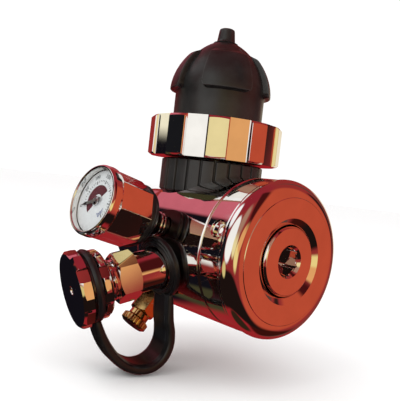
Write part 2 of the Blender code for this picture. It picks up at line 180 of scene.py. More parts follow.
def skin(rows, wrap):
    """Mesh between rows of points; a row of one point is a tip. With wrap, the last row joins the first."""
    bm = bmesh.new()
    made = [[bm.verts.new(point) for point in row] for row in rows]
    for low, high in list(zip(made, made[1:])) + ([(made[-1], made[0])] if wrap else []):
        count = max(len(low), len(high))
        for i in range(count):
            j = (i + 1) % count
            corners = [low[i % len(low)], low[j % len(low)], high[j % len(high)], high[i % len(high)]]
            bm.faces.new(list(dict.fromkeys(corners)))
    if not wrap:
        for row in (made[0], made[-1]):
            if len(row) > 1:
                bm.faces.new(row)
    bmesh.ops.recalc_face_normals(bm, faces=bm.faces)
    return bm


def to_object(name, bm, axis):
    """Object from a mesh in millimetres on an axis, with its place in its vertices."""
    mesh = bpy.data.meshes.new(name)
    bm.to_mesh(mesh)
    bm.free()
    mesh.transform(axis @ Matrix.Scale(MM, 4))
    obj = bpy.data.objects.new(name, mesh)
    bpy.context.scene.collection.objects.link(obj)
    return obj


def circle(radius, height, steps):
    turns = [2 * math.pi * k / steps for k in range(steps)]
    return [Vector((radius * math.cos(a), radius * math.sin(a), height)) for a in turns]


def lathe(name, axis, profile, steps=ROUND):
    """Turned piece; a profile that starts and ends at radius 0 is solid."""
    closed = profile[0][0] > 0 or profile[-1][0] > 0
    rows = []
    for point in softened(profile, closed):
        on_axis = point.x <= 1e-6
        rows.append([Vector((0, 0, point.y))] if on_axis else circle(point.x, point.y, steps))
    return to_object(name, skin(rows, closed), axis)


def shaped(name, axis, rings, steps=360, hollow=False):
    """Piece between rings of (height, radius function of the angle in degrees, or a number)."""
    angles = [360.0 * k / steps for k in range(steps)]
    rows = []
    for height, radius in rings:
        radii = [radius(a) if callable(radius) else radius for a in angles]
        rows.append([Vector((r * math.cos(math.radians(a)), r * math.sin(math.radians(a)), height))
                     for r, a in zip(radii, angles)])
    return to_object(name, skin(rows, hollow), axis)


def combine(target, tool, operation):
    """Boolean of two closed meshes, applied; the tool is used up."""
    mod = target.modifiers.new("combine", "BOOLEAN")
    mod.operation = operation
    mod.object = tool
    evaluated = target.evaluated_get(bpy.context.evaluated_depsgraph_get())
    mesh = bpy.data.meshes.new_from_object(evaluated)
    target.modifiers.clear()
    target.data = mesh
    bpy.data.objects.remove(tool)
    return target


def rounded_edges(obj, width):
    """Small round on every sharp edge."""
    mod = obj.modifiers.new("edges", "BEVEL")
    mod.width = width * MM
    mod.segments = 2
    mod.limit_method = "ANGLE"
    mod.angle_limit = math.radians(28)
    return obj


def shade(obj, angle=30):
    """Smooth shading that follows the large faces and stays sharp past an angle."""
    obj.data.shade_smooth()
    obj.data.set_sharp_from_angle(angle=math.radians(angle))
    mod = obj.modifiers.new("normals", "WEIGHTED_NORMAL")
    mod.keep_sharp = True
    mod.weight = 100
    return obj


def polygon(sides, across, phase=0.0):
    """Radius function of a regular polygon, from its width across flats."""
    step = 360.0 / sides
    return lambda a: across / 2 / math.cos(math.radians((a - phase + step / 2) % step - step / 2))


def lobed(count, outer, dip, width, phase):
    """Radius function of flat lobes with flat-bottomed scallops between them."""
    step = 360.0 / count
    flat = outer * math.cos(math.radians(width / 2))

    def radius(a):
        off = abs((a - phase + step / 2) % step - step / 2)
        if off <= width / 2:
            return flat / math.cos(math.radians(off))
        floor = (outer - dip) / math.cos(math.radians(step / 2 - off))
        return outer + (floor - outer) * smoothstep((off - width / 2) / 1.5)

    return radius


def smoothstep(value):
    """Value held between 0 and 1, with soft ends."""
    value = min(1.0, max(0.0, value))
    return value * value * (3 - 2 * value)


def bump_band(count, width, edge, phase):
    """Share from 0 to 1 of raised bands with soft edges, as a function of the angle."""
    step = 360.0 / count

    def share(a):
        off = abs((a - phase + step / 2) % step - step / 2)
        return smoothstep((width / 2 + edge - off) / (2 * edge))

    return share


def thread(radius, depth, pitch, low, high):
    """Profile points of rings that stand for a thread, from low to high."""
    count = int((high - low) / pitch)
    points = []
    for k in range(count):
        start = low + k * pitch
        points += [(radius - depth, start), (radius, start + 0.4 * pitch), (radius, start + 0.6 * pitch)]
    return points + [(radius - depth, low + count * pitch)]


# ---- materials -----------------------------------------------------------------
def nodes_of(material):
    """Node tree of a material, and its main shader."""
    material.use_nodes = True
    tree = material.node_tree
    return tree, tree.nodes["Principled BSDF"]


def link(tree, source, target):
    tree.links.new(source, target)


def compass(azimuth, elevation):
    """Direction from an azimuth, 0 towards -Y and 90 towards +X, and an elevation in degrees."""
    a, e = math.radians(azimuth), math.radians(elevation)
    return Vector((math.sin(a) * math.cos(e), -math.cos(a) * math.cos(e), math.sin(e)))


# The room that glossy surfaces mirror: a base colour, then soft patches over it, each
# (azimuth, elevation, half width, half height, softness, colour), angles in degrees.
ROOM_BASE = (0.30, 0.030, 0.028)
ROOM = [
    (0, -62, 190, 32, 0.5, (0.33, 0.018, 0.022)),
    (0, 80, 190, 24, 0.5, (0.28, 0.02, 0.03)),
    (-135, -18, 18, 24, 0.4, (0.32, 0.014, 0.018)),
    (-95, 33, 38, 18, 0.4, (0.58, 0.13, 0.17)),
    (150, -48, 40, 18, 0.5, (0.045, 0.006, 0.004)),
    (30, -44, 105, 26, 0.2, (0.012, 0.006, 0.005)),
    (0, -92, 400, 22, 0.3, (0.03, 0.016, 0.008)),
    (-84, -25, 34, 19, 0.2, (0.006, 0.005, 0.008)),
    (-52, 0, 24, 32, 0.15, (0.006, 0.005, 0.008)),
    (-80, -42, 22, 6, 0.6, (0.05, 0.045, 0.02)),
    (-40, 45, 24, 16, 0.35, (1.0, 1.0, 1.0)),
    (-55, -20, 8, 4, 0.5, (0.80, 0.82, 0.90)),
    (-61, 9, 4, 4, 0.5, (0.95, 0.88, 0.66)),
    (18, 20, 30, 30, 0.2, (1.0, 0.98, 0.94)),
    (-27, 2, 15, 18, 0.2, (0.010, 0.010, 0.012)),
    (0, -18, 14, 10, 0.5, (0.70, 0.56, 0.22)),
    (56, 10, 13, 14, 0.5, (0.86, 0.72, 0.36)),
    (62, 36, 16, 20, 0.8, (0.42, 0.22, 0.15)),
    (80, -3, 14, 12, 0.5, (0.88, 0.68, 0.26)),
    (92, 8, 14, 10, 0.4, (0.80, 0.38, 0.14)),
    (105, 42, 18, 30, 0.5, (0.06, 0.006, 0.006)),
    (130, 10, 22, 44, 0.4, (0.52, 0.075, 0.035)),
    (160, 8, 7, 14, 0.4, (0.03, 0.012, 0.01)),
    (-163, 2, 8, 16, 0.5, (0.9, 0.80, 0.60)),
    (-149, -2, 6, 18, 0.5, (0.9, 0.80, 0.60)),
    (178, 0, 8, 60, 0.5, (0.10, 0.05, 0.04)),
]


def direction_angles(tree, direction):
    """Azimuth and elevation of a direction, in degrees, as the x and y of a vector."""
    parts = tree.nodes.new("ShaderNodeSeparateXYZ")
    link(tree, direction, parts.inputs[0])
    minus = math_node(tree, "MULTIPLY", parts.outputs["Y"], -1.0)
    turn = math_node(tree, "ARCTAN2", parts.outputs["X"], minus)
    rise = math_node(tree, "ARCSINE", parts.outputs["Z"])
    azimuth = math_node(tree, "MULTIPLY", turn, 180 / math.pi)
    elevation = math_node(tree, "MULTIPLY", rise, 180 / math.pi)
    joined = tree.nodes.new("ShaderNodeCombineXYZ")
    link(tree, azimuth, joined.inputs["X"])
    link(tree, elevation, joined.inputs["Y"])
    return joined.outputs[0]


def math_node(tree, operation, *values):
    node = tree.nodes.new("ShaderNodeMath")
    node.operation = operation
    for value, socket in zip(values, node.inputs):
        if isinstance(value, (int, float)):
            socket.default_value = value
        else:
            link(tree, value, socket)
    return node.outputs[0]


def vector_node(tree, operation, first, second=None):
    node = tree.nodes.new("ShaderNodeVectorMath")
    node.operation = operation
    link(tree, first, node.inputs[0])
    if second is not None:
        node.inputs[1].default_value = second
    return node


def room_colour(tree, direction):
    """Colour of the room in a direction."""
    angles = direction_angles(tree, direction)
    colour = ROOM_BASE
    for azimuth, elevation, half, height, soft, patch in ROOM:
        away = vector_node(tree, "SUBTRACT", angles, (azimuth, elevation, 0)).outputs[0]
        away = vector_node(tree, "MULTIPLY", away, (1 / half, 1 / height, 0)).outputs[0]
        share = tree.nodes.new("ShaderNodeMapRange")
        share.interpolation_type = "SMOOTHSTEP"
        share.inputs["From Min"].default_value = 1 + soft / 2
        share.inputs["From Max"].default_value = 1 - soft / 2
        link(tree, vector_node(tree, "LENGTH", away).outputs["Value"], share.inputs["Value"])
        colour = blend_colours(tree, share.outputs["Result"], colour, patch)
    return colour


def noise(tree, scale, detail):
    """Noise in object space, where one unit is a metre."""
    where = tree.nodes.new("ShaderNodeTexCoord")
    texture = tree.nodes.new("ShaderNodeTexNoise")
    texture.inputs["Scale"].default_value = scale
    texture.inputs["Detail"].default_value = detail
    link(tree, where.outputs["Object"], texture.inputs["Vector"])
    return texture.outputs["Fac"]


def ramp(tree, value, low, high):
    """Value from 0 to 1 spread to a range."""
    spread = tree.nodes.new("ShaderNodeMapRange")
    spread.inputs["From Min"].default_value, spread.inputs["From Max"].default_value = 0.3, 0.7
    spread.inputs["To Min"].default_value, spread.inputs["To Max"].default_value = low, high
    link(tree, value, spread.inputs["Value"])
    return spread.outputs["Result"]


def blend_colours(tree, share, first, second):
    mix = tree.nodes.new("ShaderNodeMix")
    mix.data_type = "RGBA"
    for value, name in ((share, "Factor"), (first, "A"), (second, "B")):
        socket = mix.inputs[name]
        if isinstance(value, tuple):
            socket.default_value = (*value, 1)
        elif isinstance(value, float):
            socket.default_value = value
        else:
            link(tree, value, socket)
    return mix.outputs["Result"]


def bumped(tree, shader, height, strength, distance):
    bump = tree.nodes.new("ShaderNodeBump")
    bump.inputs["Strength"].default_value = strength
    bump.inputs["Distance"].default_value = distance * MM
    link(tree, height, bump.inputs["Height"])
    link(tree, bump.outputs["Normal"], shader.inputs["Normal"])


def chrome(name, colour=(0.90, 0.89, 0.87), rough=(0.02, 0.06)):
    """Polished plating with handling haze and fine waviness."""
    material = bpy.data.materials.new(name)
    tree, shader = nodes_of(material)
    dull = tuple(0.82 * channel for channel in colour)
    link(tree, blend_colours(tree, ramp(tree, noise(tree, 160, 5), 0.0, 0.5), colour, dull),
         shader.inputs["Base Color"])
    shader.inputs["Metallic"].default_value = 1.0
    link(tree, ramp(tree, noise(tree, 420, 6), *rough), shader.inputs["Roughness"])
    bumped(tree, shader, noise(tree, 260, 2), 0.12, 0.012)
    return material


def metal(name, colour, dark, rough=(0.22, 0.42), grain=700):
    """Machined or drawn metal with tarnish and a fine grain."""
    material = bpy.data.materials.new(name)
    tree, shader = nodes_of(material)
    shade_of = blend_colours(tree, ramp(tree, noise(tree, 180, 5), 0.0, 1.0), colour, dark)
    link(tree, shade_of, shader.inputs["Base Color"])
    shader.inputs["Metallic"].default_value = 1.0
    link(tree, ramp(tree, noise(tree, grain, 4), *rough), shader.inputs["Roughness"])
    bumped(tree, shader, noise(tree, grain, 3), 0.25, 0.02)
    return material


def moulded(name, colour, light, rough, grain, depth):
    """Moulded plastic or rubber with a fine grain and dust; its paler edges are partly edge wear and partly a
    painted sheen highlight.
    """
    material = bpy.data.materials.new(name)
    tree, shader = nodes_of(material)
    # Paler colour on sharp edges, found from pointiness: partly edge wear, partly a painted sheen highlight.
    geometry = tree.nodes.new("ShaderNodeNewGeometry")
    edges = tree.nodes.new("ShaderNodeMapRange")
    edges.inputs["From Min"].default_value, edges.inputs["From Max"].default_value = 0.51, 0.58
    edges.inputs["To Max"].default_value = 0.7
    link(tree, geometry.outputs["Pointiness"], edges.inputs["Value"])
    edge_wear_and_sheen = blend_colours(tree, edges.outputs["Result"], colour, light)
    patchy = blend_colours(tree, ramp(tree, noise(tree, 300, 6), 0.0, 0.12), edge_wear_and_sheen, light)
    link(tree, patchy, shader.inputs["Base Color"])
    link(tree, ramp(tree, noise(tree, 220, 5), *rough), shader.inputs["Roughness"])
    bumped(tree, shader, noise(tree, grain, 2), 0.35, depth)
    return material


def printed(name, colour):
    """Satin print or lacquer, a little uneven."""
    material = bpy.data.materials.new(name)
    tree, shader = nodes_of(material)
    darker = tuple(0.86 * channel for channel in colour)
    link(tree, blend_colours(tree, ramp(tree, noise(tree, 900, 4), 0.0, 0.5), colour, darker),
         shader.inputs["Base Color"])
    shader.inputs["Roughness"].default_value = 0.4
    return material


def window(name):
    """Clear thin window: see-through, with a mirror that grows towards grazing."""
    material = bpy.data.materials.new(name)
    tree, shader = nodes_of(material)
    output = tree.nodes["Material Output"]
    tree.nodes.remove(shader)
    clear = tree.nodes.new("ShaderNodeBsdfTransparent")
    clear.inputs["Color"].default_value = (0.97, 0.98, 0.98, 1)
    gloss = tree.nodes.new("ShaderNodeBsdfGlossy")
    link(tree, ramp(tree, noise(tree, 300, 3), 0.02, 0.05), gloss.inputs["Roughness"])
    facing = tree.nodes.new("ShaderNodeLayerWeight")
    grazing = math_node(tree, "POWER", facing.outputs["Facing"], 4.0)
    mix = tree.nodes.new("ShaderNodeMixShader")
    link(tree, math_node(tree, "MULTIPLY_ADD", grazing, 0.6, 0.03), mix.inputs["Fac"])
    link(tree, clear.outputs["BSDF"], mix.inputs[1])
    link(tree, gloss.outputs["BSDF"], mix.inputs[2])
    link(tree, mix.outputs["Shader"], output.inputs["Surface"])
    return material


FINISHES = {
    "chrome": chrome("polished_chrome"),
    "brass": chrome("warm_brass", (0.62, 0.42, 0.17), (0.10, 0.2)),
    "sintered_bronze": metal("sintered_bronze", (0.36, 0.22, 0.10), (0.22, 0.13, 0.06),
                             (0.55, 0.75), 2600),
    "steel": metal("drawn_steel", (0.55, 0.55, 0.56), (0.40, 0.40, 0.41)),
    "rubber": moulded("black_rubber", (0.004, 0.004, 0.0045), (0.025, 0.025, 0.025),
                      (0.28, 0.42), 1800, 0.015),
    "black_plastic": moulded("black_plastic", (0.008, 0.008, 0.008), (0.055, 0.055, 0.052),
                             (0.30, 0.42), 2400, 0.02),
    "dial": printed("dial_white", (0.80, 0.80, 0.80)),
    "needle": printed("needle_black", (0.02, 0.015, 0.015)),
    "lens": window("clear_window"),
    "seat": moulded("seat_plastic", (0.62, 0.60, 0.52), (0.72, 0.70, 0.62), (0.25, 0.4), 1500, 0.03),
}
MAROON = printed("dial_maroon", (0.13, 0.025, 0.035))
INK = printed("dial_ink", (0.03, 0.03, 0.035))
BLUE = printed("dial_blue", (0.03, 0.06, 0.26))
PIN_METAL = metal("pointer_metal", (0.75, 0.75, 0.76), (0.6, 0.6, 0.62))


# ---- placing pieces ------------------------------------------------------------
def finish_piece(obj, node, replaces=True, material=None, smooth=30):
    """Shade a piece, give it the finish of its CAD node's slot and let it ride on that node's body."""
    shade(obj, smooth)
    obj.data.materials.clear()
    obj.data.materials.append(material or FINISHES[slot_of_node[node]])
    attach(obj, body_of_node[node])
    if replaces:
        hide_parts(node)
    return obj


def rod(axis, radius, low, high, steps):
    """Plain cylinder to cut with."""
    return lathe("tool", axis, [(0, low), (radius, low), (radius, high), (0, high)], steps)


# ---- body and front end --------------------------------------------------------
def make_body():
    low, high, radius = span("body", main)
    tail, chamber, valve, recess = 15.4, 12.0, 8.0, 19.8
    shoulder = [(tail + (radius - tail) * smoothstep(k / 16), 12.5 + 20.5 * k / 16) for k in range(17)]
    body = lathe("body_shell", main, [
        (0, low), (11.8, low, 0.5), (tail, 3.8, 3.5), *shoulder,
        (radius, high - 0.45, 0.25), (radius - 0.45, high, 0.15), (recess, high, 0.2), (recess, 53.6),
        (chamber, 53.6), (chamber, 44.0), (valve, 44.0), (valve, 20.0),
        (4.0, 20.0), (4.0, 9.0), (0, 9.0)], 240)
    collar_low, _, collar_radius = span("grip_collar", din)
    combine(body, rod(din, collar_radius + 0.35, collar_low - 0.3, 40, 160), "DIFFERENCE")
    combine(body, rod(din, 5.1, 9.6, 16, 96), "DIFFERENCE")
    for axis, bore, start in ((gauge, 3.5, 14.0), (outlet, 4.5, 14.0), (relief, 3.6, 15.5),
                              (spares[0], 4.1, 14.0), (spares[1], 4.1, 14.0)):
        combine(body, rod(axis, bore, start, 30, 64), "DIFFERENCE")
    finish_piece(body, "body")


def make_clamp():
    low, high, radius = span("diaphragm_clamp", main)
    seam = span("body", main)[1]
    face, bore, skirt = 18.0, 10.3, 19.4
    shoulder = arc(face + 0.3, high - 4.2, radius - face - 0.3, 4.05, -6, 90, 20)
    clamp = lathe("clamp_ring", main, [
        (skirt, low), (skirt, seam + 0.1),
        (radius - 0.45, seam + 0.3, 0.1), (radius - 0.2, seam + 0.6, 0.2),
        (radius - 0.2, high - 5.3, 0.2), (radius - 0.3, high - 4.9, 0.1), *shoulder,
        (face, high - 0.15, 0.05), (face - 0.15, high, 0.05), (12.2, high, 0.12),
        (bore + 0.15, high - 1.0, 0.2), (bore, high - 1.2), (bore, 62.9),
        (13.0, 62.9), (13.0, low)], 240)
    for i in range(SPANNER_HOLES):
        a = math.radians(SPANNER_PHASE + 360.0 / SPANNER_HOLES * i)
        hole = axis_frame((SPANNER_STATION, 0, 0), (0, -math.cos(a), math.sin(a)))
        drill = lathe("tool", hole, [
            (0, 19.3), (1.2, 19.4), (2.0, 19.9, 0.5), (2.25, 20.8), (2.25, 21.9), (2.6, 22.4), (2.6, 24),
            (0, 24)], 96)
        combine(clamp, drill, "DIFFERENCE")
    finish_piece(clamp, "diaphragm_clamp")


def make_adjuster():
    low, high, radius = span("adjuster_screw", main)
    socket = polygon(6, 7.4, 10)
    disc = lathe("adjuster_disc", main, [
        (0, low), (radius - 0.3, low, 0.2), (radius, low + 0.4),
        (radius, high - 0.55, 0.3), (radius - 0.5, high, 0.2),
        (4.75, high, 0.1), (4.0, high - 0.8), (4.0, high - 1.2), (0, high - 1.2)])
    key = shaped("tool", main, [(low + 1.6, socket), (high + 1, lambda a: min(socket(a), 4.24))])
    combine(disc, key, "DIFFERENCE")
    finish_piece(disc, "adjuster_screw")


# ---- cylinder connection -------------------------------------------------------
def make_handwheel():
    low, high, radius = span("handwheel", din)
    ring_top = span("dust_cap", din)[0] - 0.5
    bore, counterbore, thread_radius = 5.4, 8.1, 11.3
    rim = lathe("wheel_rim", din, [
        (bore, low), (radius - 0.8, low, 0.25), (radius + 0.1, low + 0.7, 0.3),
        (radius + 0.1, ring_top - 0.9, 0.4), (radius - 0.9, ring_top, 0.3), (thread_radius - 0.9, ring_top),
        *thread(thread_radius, 0.9, CAP_PITCH, ring_top + 0.4, high - 0.6), (thread_radius - 1.2, high),
        (counterbore, high), (counterbore, 47.1), (bore, 47.1)], 240)
    edge = lobed(LOBES, radius, LOBE_DIP, LOBE_WIDTH, LOBE_PHASE)
    combine(rim, shaped("tool", din, [(low - 1, edge), (high + 1, edge)], 720), "INTERSECT")
    finish_piece(rounded_edges(rim, 0.16), "handwheel")


def make_collar():
    low, high, radius = span("grip_collar", din)
    rib = bump_band(RIBS, 12.6, 0.5, 0)

    def grip(inset):
        """Radius of the ribbed surface, drawn in towards the lower edge."""
        return lambda a: radius - inset - 0.55 * (1 - rib(a))

    rings = [(low, 9.8), (low, radius - 1.5)]
    rings += [(low + 1.4 * k / 6, grip(1.3 - 1.3 * smoothstep(k / 6))) for k in range(7)]
    rings += [(high - 0.5, grip(0)), (high, radius - 0.9), (high, 9.8)]
    finish_piece(shaped("collar_grip", din, rings, 720, hollow=True), "grip_collar")


def make_dust_cap():
    low, high, _ = span("dust_cap", din)
    skirt, pad_low, dome_low, dome_high = 14.5, 47.9, 49.0, 65.9

    def pads(t):
        """Share of the grip pads at a height, with their lower corners rounded."""
        above = min(2.0, max(0.0, t - pad_low))
        inset = math.degrees((2.0 - math.sqrt(4.0 - (2.0 - above) ** 2)) / skirt)
        return bump_band(PADS, PAD_WIDTH - 2 * inset, 0.6, PAD_PHASE)

    def base(t):
        share = max(0.0, (t - dome_low) / (dome_high - dome_low))
        return skirt * (1 - min(1.0, share) ** 1.85) ** 0.6

    def pad(t):
        """How far a grip pad stands out at a height."""
        ends = smoothstep((t - pad_low) / 0.7) * smoothstep((61.6 - t) / 1.6)
        return (1.95 - 0.03 * (t - pad_low)) * ends

    inside = [(56.2, 0.3), (56.2, 9.9), (54.2, 12.0), (low + 0.3, 12.0), (low, 12.3)]
    outside = [(low, skirt - 0.5), (low + 0.12, skirt - 0.2), (low + 0.4, skirt)]
    heights = [pad_low - 1.0, pad_low - 0.2] + [pad_low + 0.12 * k for k in range(18)]
    heights += [50.2 + 0.5 * k for k in range(18)] + [59.4 + 0.2 * k for k in range(16)]
    heights += [62.8, 63.4, 64.0, 64.5, 64.9]
    outside += [(t, lambda a, t=t, band=pads(t): base(t) + pad(t) * band(a)) for t in heights]
    nub = [(65.1, 4.0), (65.2, 3.4), (65.5, 3.05), (66.2, 2.9),
           (high - 0.8, 2.55), (high - 0.3, 2.4), (high - 0.06, 2.0), (high, 1.5), (high, 0.05)]
    finish_piece(shaped("cap_shell", din, inside + outside + nub, 720), "dust_cap", smooth=40)
    low, high, radius = span("dust_cap_seal", din)
    seal = lathe("cap_seal_disc", din, [(0, low), (radius, low, 0.3), (radius, high, 0.3), (0, high)])
    finish_piece(seal, "dust_cap_seal")


# ---- gauge ---------------------------------------------------------------------
def make_gauge_joint():
    low, high, _ = span("gauge_adapter", gauge)
    pin = lathe("adapter_pin", gauge, [
        (0.6, low), (3.2, low, 0.2), (3.2, 23.4), (4.4, 23.5, 0.2), (4.4, 24.3, 0.25), (2.2, 24.3),
        (2.2, 25.4), (1.6, 25.4), (1.6, 27.0), (2.2, 27.0), (2.2, high, 0.2), (0.6, high)], 120)
    finish_piece(pin, "gauge_adapter")
    low, high, radius = span("gauge_stem_ring", gauge)
    ring = lathe("stem_ring", gauge, [
        (3.35, low), (radius - 0.2, low, 0.15), (radius, (low + high) / 2, 0.2), (radius - 0.2, high, 0.15),
        (3.35, high)], 96)
    finish_piece(ring, "gauge_stem_ring")
    low, high, _ = span("gauge_stem", gauge)
    neck = lathe("swivel_neck", gauge, [
        (2.6, low), (4.6, low, 0.3), (4.6, 25.6, 0.35), (4.1, 26.0, 0.2), (4.1, high), (0.8, high),
        (0.8, high - 0.9), (2.6, high - 0.9)], 120)
    finish_piece(neck, "gauge_stem")


def make_gauge_head():
    low, high, _ = span("gauge_bumper", gauge)
    bumper = lathe("bumper_ring", gauge, [
        (4.5, low), (8.8, low, 0.4), (8.9, low + 1.0, 0.3), (8.5, low + 1.25, 0.15), (9.4, low + 1.5, 0.35),
        (9.7, low + 2.1, 0.4), (9.4, high, 0.35), (4.5, high)])
    finish_piece(bumper, "gauge_bumper")
    low, high, _ = span("gauge_can", gauge)
    can = lathe("can_shell", gauge, [
        (1.7, low), (10.3, low, 0.2), (10.3, high - 4.1, 0.6), (10.45, high - 2.6, 0.8),
        (10.3, high - 0.8, 0.5), (9.9, high, 0.3), (9.4, high, 0.12), (9.2, high - 0.3), (9.2, high - 1.9),
        (9.4, high - 2.0), (9.4, high - 3.1), (8.4, high - 3.1), (8.4, low + 1.7), (1.7, low + 1.7)])
    flats = polygon(8, 18.8, 20)
    bezel = high - 3.6
    sides = shaped("tool", gauge, [(low - 1, flats), (bezel, flats), (bezel + 0.9, 11.0), (high + 1, 11.0)])
    combine(can, sides, "INTERSECT")
    finish_piece(rounded_edges(can, 0.12), "gauge_can")
    low, high, radius = span("gauge_lens", gauge)
    lens = lathe("gauge_window", gauge, [(0, low), (radius, low, 0.1), (radius, high, 0.2), (0, high)])
    finish_piece(lens, "gauge_lens")
    make_dial()
    make_needle()


def on_dial(angle, radius, height):
    """Point at an angle from the dial's right, at a radius and a height along the gauge."""
    a = math.radians(angle + DIAL_TURN)
    return Vector((radius * math.cos(a), radius * math.sin(a), height))


def printed_marks(name, outlines, top, material):
    """Flat prints on the dial, one face with a little thickness for each outline of (angle, radius)."""
    bm = bmesh.new()
    for outline in outlines:
        rows = [[bm.verts.new(on_dial(a, r, top + lift)) for a, r in outline] for lift in (0.01, 0.04)]
        bm.faces.new(rows[0])
        bm.faces.new(rows[1])
        for i in range(len(outline)):
            j = (i + 1) % len(outline)
            bm.faces.new((rows[0][i], rows[0][j], rows[1][j], rows[1][i]))
    bmesh.ops.recalc_face_normals(bm, faces=bm.faces)
    finish_piece(to_object(name, bm, gauge), "gauge_dial", False, material)


def lettering(name, text, size, angle, radius, top, turn, material):
    """Raised print of a number or a unit, centred at a place on the dial."""
    curve = bpy.data.curves.new(name, "FONT")
    curve.body = text
    curve.size = size
    curve.extrude = 0.015
    curve.align_x = "CENTER"
    curve.align_y = "CENTER"
    carrier = bpy.data.objects.new("carrier", curve)
    bpy.context.scene.collection.objects.link(carrier)
    evaluated = carrier.evaluated_get(bpy.context.evaluated_depsgraph_get())
    mesh = bpy.data.meshes.new_from_object(evaluated)
    bpy.data.objects.remove(carrier)
    centre = on_dial(angle, radius, top + 0.025)
    mesh.transform(gauge @ Matrix.Scale(MM, 4) @ Matrix.Translation(centre)
                   @ Matrix.Rotation(math.radians(turn + DIAL_TURN), 4, "Z"))
    obj = bpy.data.objects.new(name, mesh)
    bpy.context.scene.collection.objects.link(obj)
    finish_piece(obj, "gauge_dial", False, material)


def make_dial():
    low, high, radius = span("gauge_dial", gauge)
    plate = lathe("dial_plate", gauge, [(0.7, low), (radius, low), (radius, high, 0.1), (0.7, high)])
    finish_piece(plate, "gauge_dial")
    ticks = []
    for k in range(31):
        a = SCALE_START - SCALE_SWEEP * k / 30
        long = k % 5 == 0
        half = 1.5 if long else 0.8
        inner = 5.2 if long else 5.6
        ticks.append([(a - half, inner), (a + half, inner), (a + half * 0.85, 6.2), (a - half * 0.85, 6.2)])
    printed_marks("dial_ticks", ticks, high, INK)
    sweep = [-4 + 188 * k / 40 for k in range(41)]
    sector = [(a, 4.7) for a in sweep] + [(a, 2.0) for a in reversed(sweep)]
    printed_marks("dial_sector", [sector], high, MAROON)
    for k in range(7):
        a = SCALE_START - SCALE_SWEEP * k / 6
        lettering("dial_number_%d" % k, str(50 * k), 1.55, a, 7.4, high, a - 90, INK)
    lettering("dial_unit", "bar", 2.2, -90, 4.4, high, 0, BLUE)


def make_needle():
    low, high, _ = span("gauge_needle", gauge)
    hub = lathe("needle_hub", gauge, [
        (0, low), (0.35, low), (0.35, high - 0.7), (1.3, high - 0.6, 0.1), (1.3, high - 0.2, 0.15),
        (0.5, high, 0.15), (0, high)], 48)
    finish_piece(hub, "gauge_needle", material=PIN_METAL)
    outline = [(-2.2, -0.55), (-1.1, -0.68), (4.1, -0.36), (4.1, 0.36), (-1.1, 0.68), (-2.2, 0.55)]
    tip = [(4.1, -0.52), (6.4, -0.06), (6.4, 0.06), (4.1, 0.52)]
    turn = Matrix.Rotation(math.radians(SCALE_START + DIAL_TURN), 4, "Z")
    for name, points, material in (("needle_blade", outline, PIN_METAL), ("needle_tip", tip, None)):
        rows = [[turn @ Vector((x, y, t)) for x, y in points] for t in (high - 0.45, high - 0.3)]
        finish_piece(to_object(name, skin(rows, False), gauge), "gauge_needle", False, material)


# ---- capped outlet -------------------------------------------------------------
def make_outlet():
    low, high, _ = span("outlet_coupling", outlet)
    barrel, hex_low, hex_high = 5.9, 32.4, 38.9
    nut = polygon(6, 12.8, 6)
    coupling = lathe("coupling_nut", outlet, [
        (2.6, low), (4.2, low), (4.2, 24.3), (barrel, 24.3, 0.3), (barrel, hex_low, 0.1),
        (6.4, hex_low + 0.1), (7.6, hex_low + 0.9), (7.6, hex_high - 0.9), (6.3, hex_high, 0.1),
        (5.6, hex_high + 0.2), *thread(5.9, 0.5, PLUG_PITCH, hex_high + 0.5, high - 0.6), (5.2, high),
        (2.6, high)])
    combine(coupling, shaped("tool", outlet, [(low - 1, nut), (high + 1, nut)]), "INTERSECT")
    finish_piece(rounded_edges(coupling, 0.1), "outlet_coupling")

    low, high, radius = span("outlet_plug", outlet)
    plug = lathe("plug_shell", outlet, [
        (6.3, low), (8.8, low, 0.3), (9.6, low + 0.8, 0.3), (9.6, low + 2.2, 0.3), (9.0, low + 2.5, 0.1),
        (7.7, low + 2.5), (7.7, high - 3.3), (9.4, high - 3.3, 0.1), (10.85, high - 2.7, 0.2),
        (10.85, high - 0.9, 0.5), (10.0, high, 0.2), (1.2, high, 0.2), (1.0, high - 0.5), (1.0, high - 3.8),
        (6.3, high - 3.8)])
    front = lobed(PLUG_LOBES, radius, 0.85, PLUG_LOBE_WIDTH, PLUG_PHASE)
    back = lobed(PLUG_LOBES, radius - 1.05, 0.8, PLUG_LOBE_WIDTH, PLUG_PHASE)
    split = high - 4.5
    sides = shaped("tool", outlet, [(low - 1, back), (split, back), (split, front), (high + 1, front)], 720)
    combine(plug, sides, "INTERSECT")
    finish_piece(rounded_edges(plug, 0.12), "outlet_plug")
    low, high, radius = span("plug_seal", outlet)
    seal = lathe("plug_seal_disc", outlet, [
        (2.0, low), (radius, low, 0.2), (radius, high, 0.2), (2.0, high)])
    finish_piece(seal, "plug_seal")


def smooth_path(points, per):
    """Catmull-Rom curve through points, each a list of numbers, with steps between them."""
    ends = [points[0]] + points + [points[-1]]
    out = []
    for a, b, c, d in zip(ends, ends[1:], ends[2:], ends[3:]):
        for k in range(per):
            u = k / per
            out.append([0.5 * (2 * q + (r - p) * u + (2 * p - 5 * q + 4 * r - s) * u * u
                               + (3 * q - p - 3 * r + s) * u ** 3) for p, q, r, s in zip(a, b, c, d)])
    return out + [points[-1]]


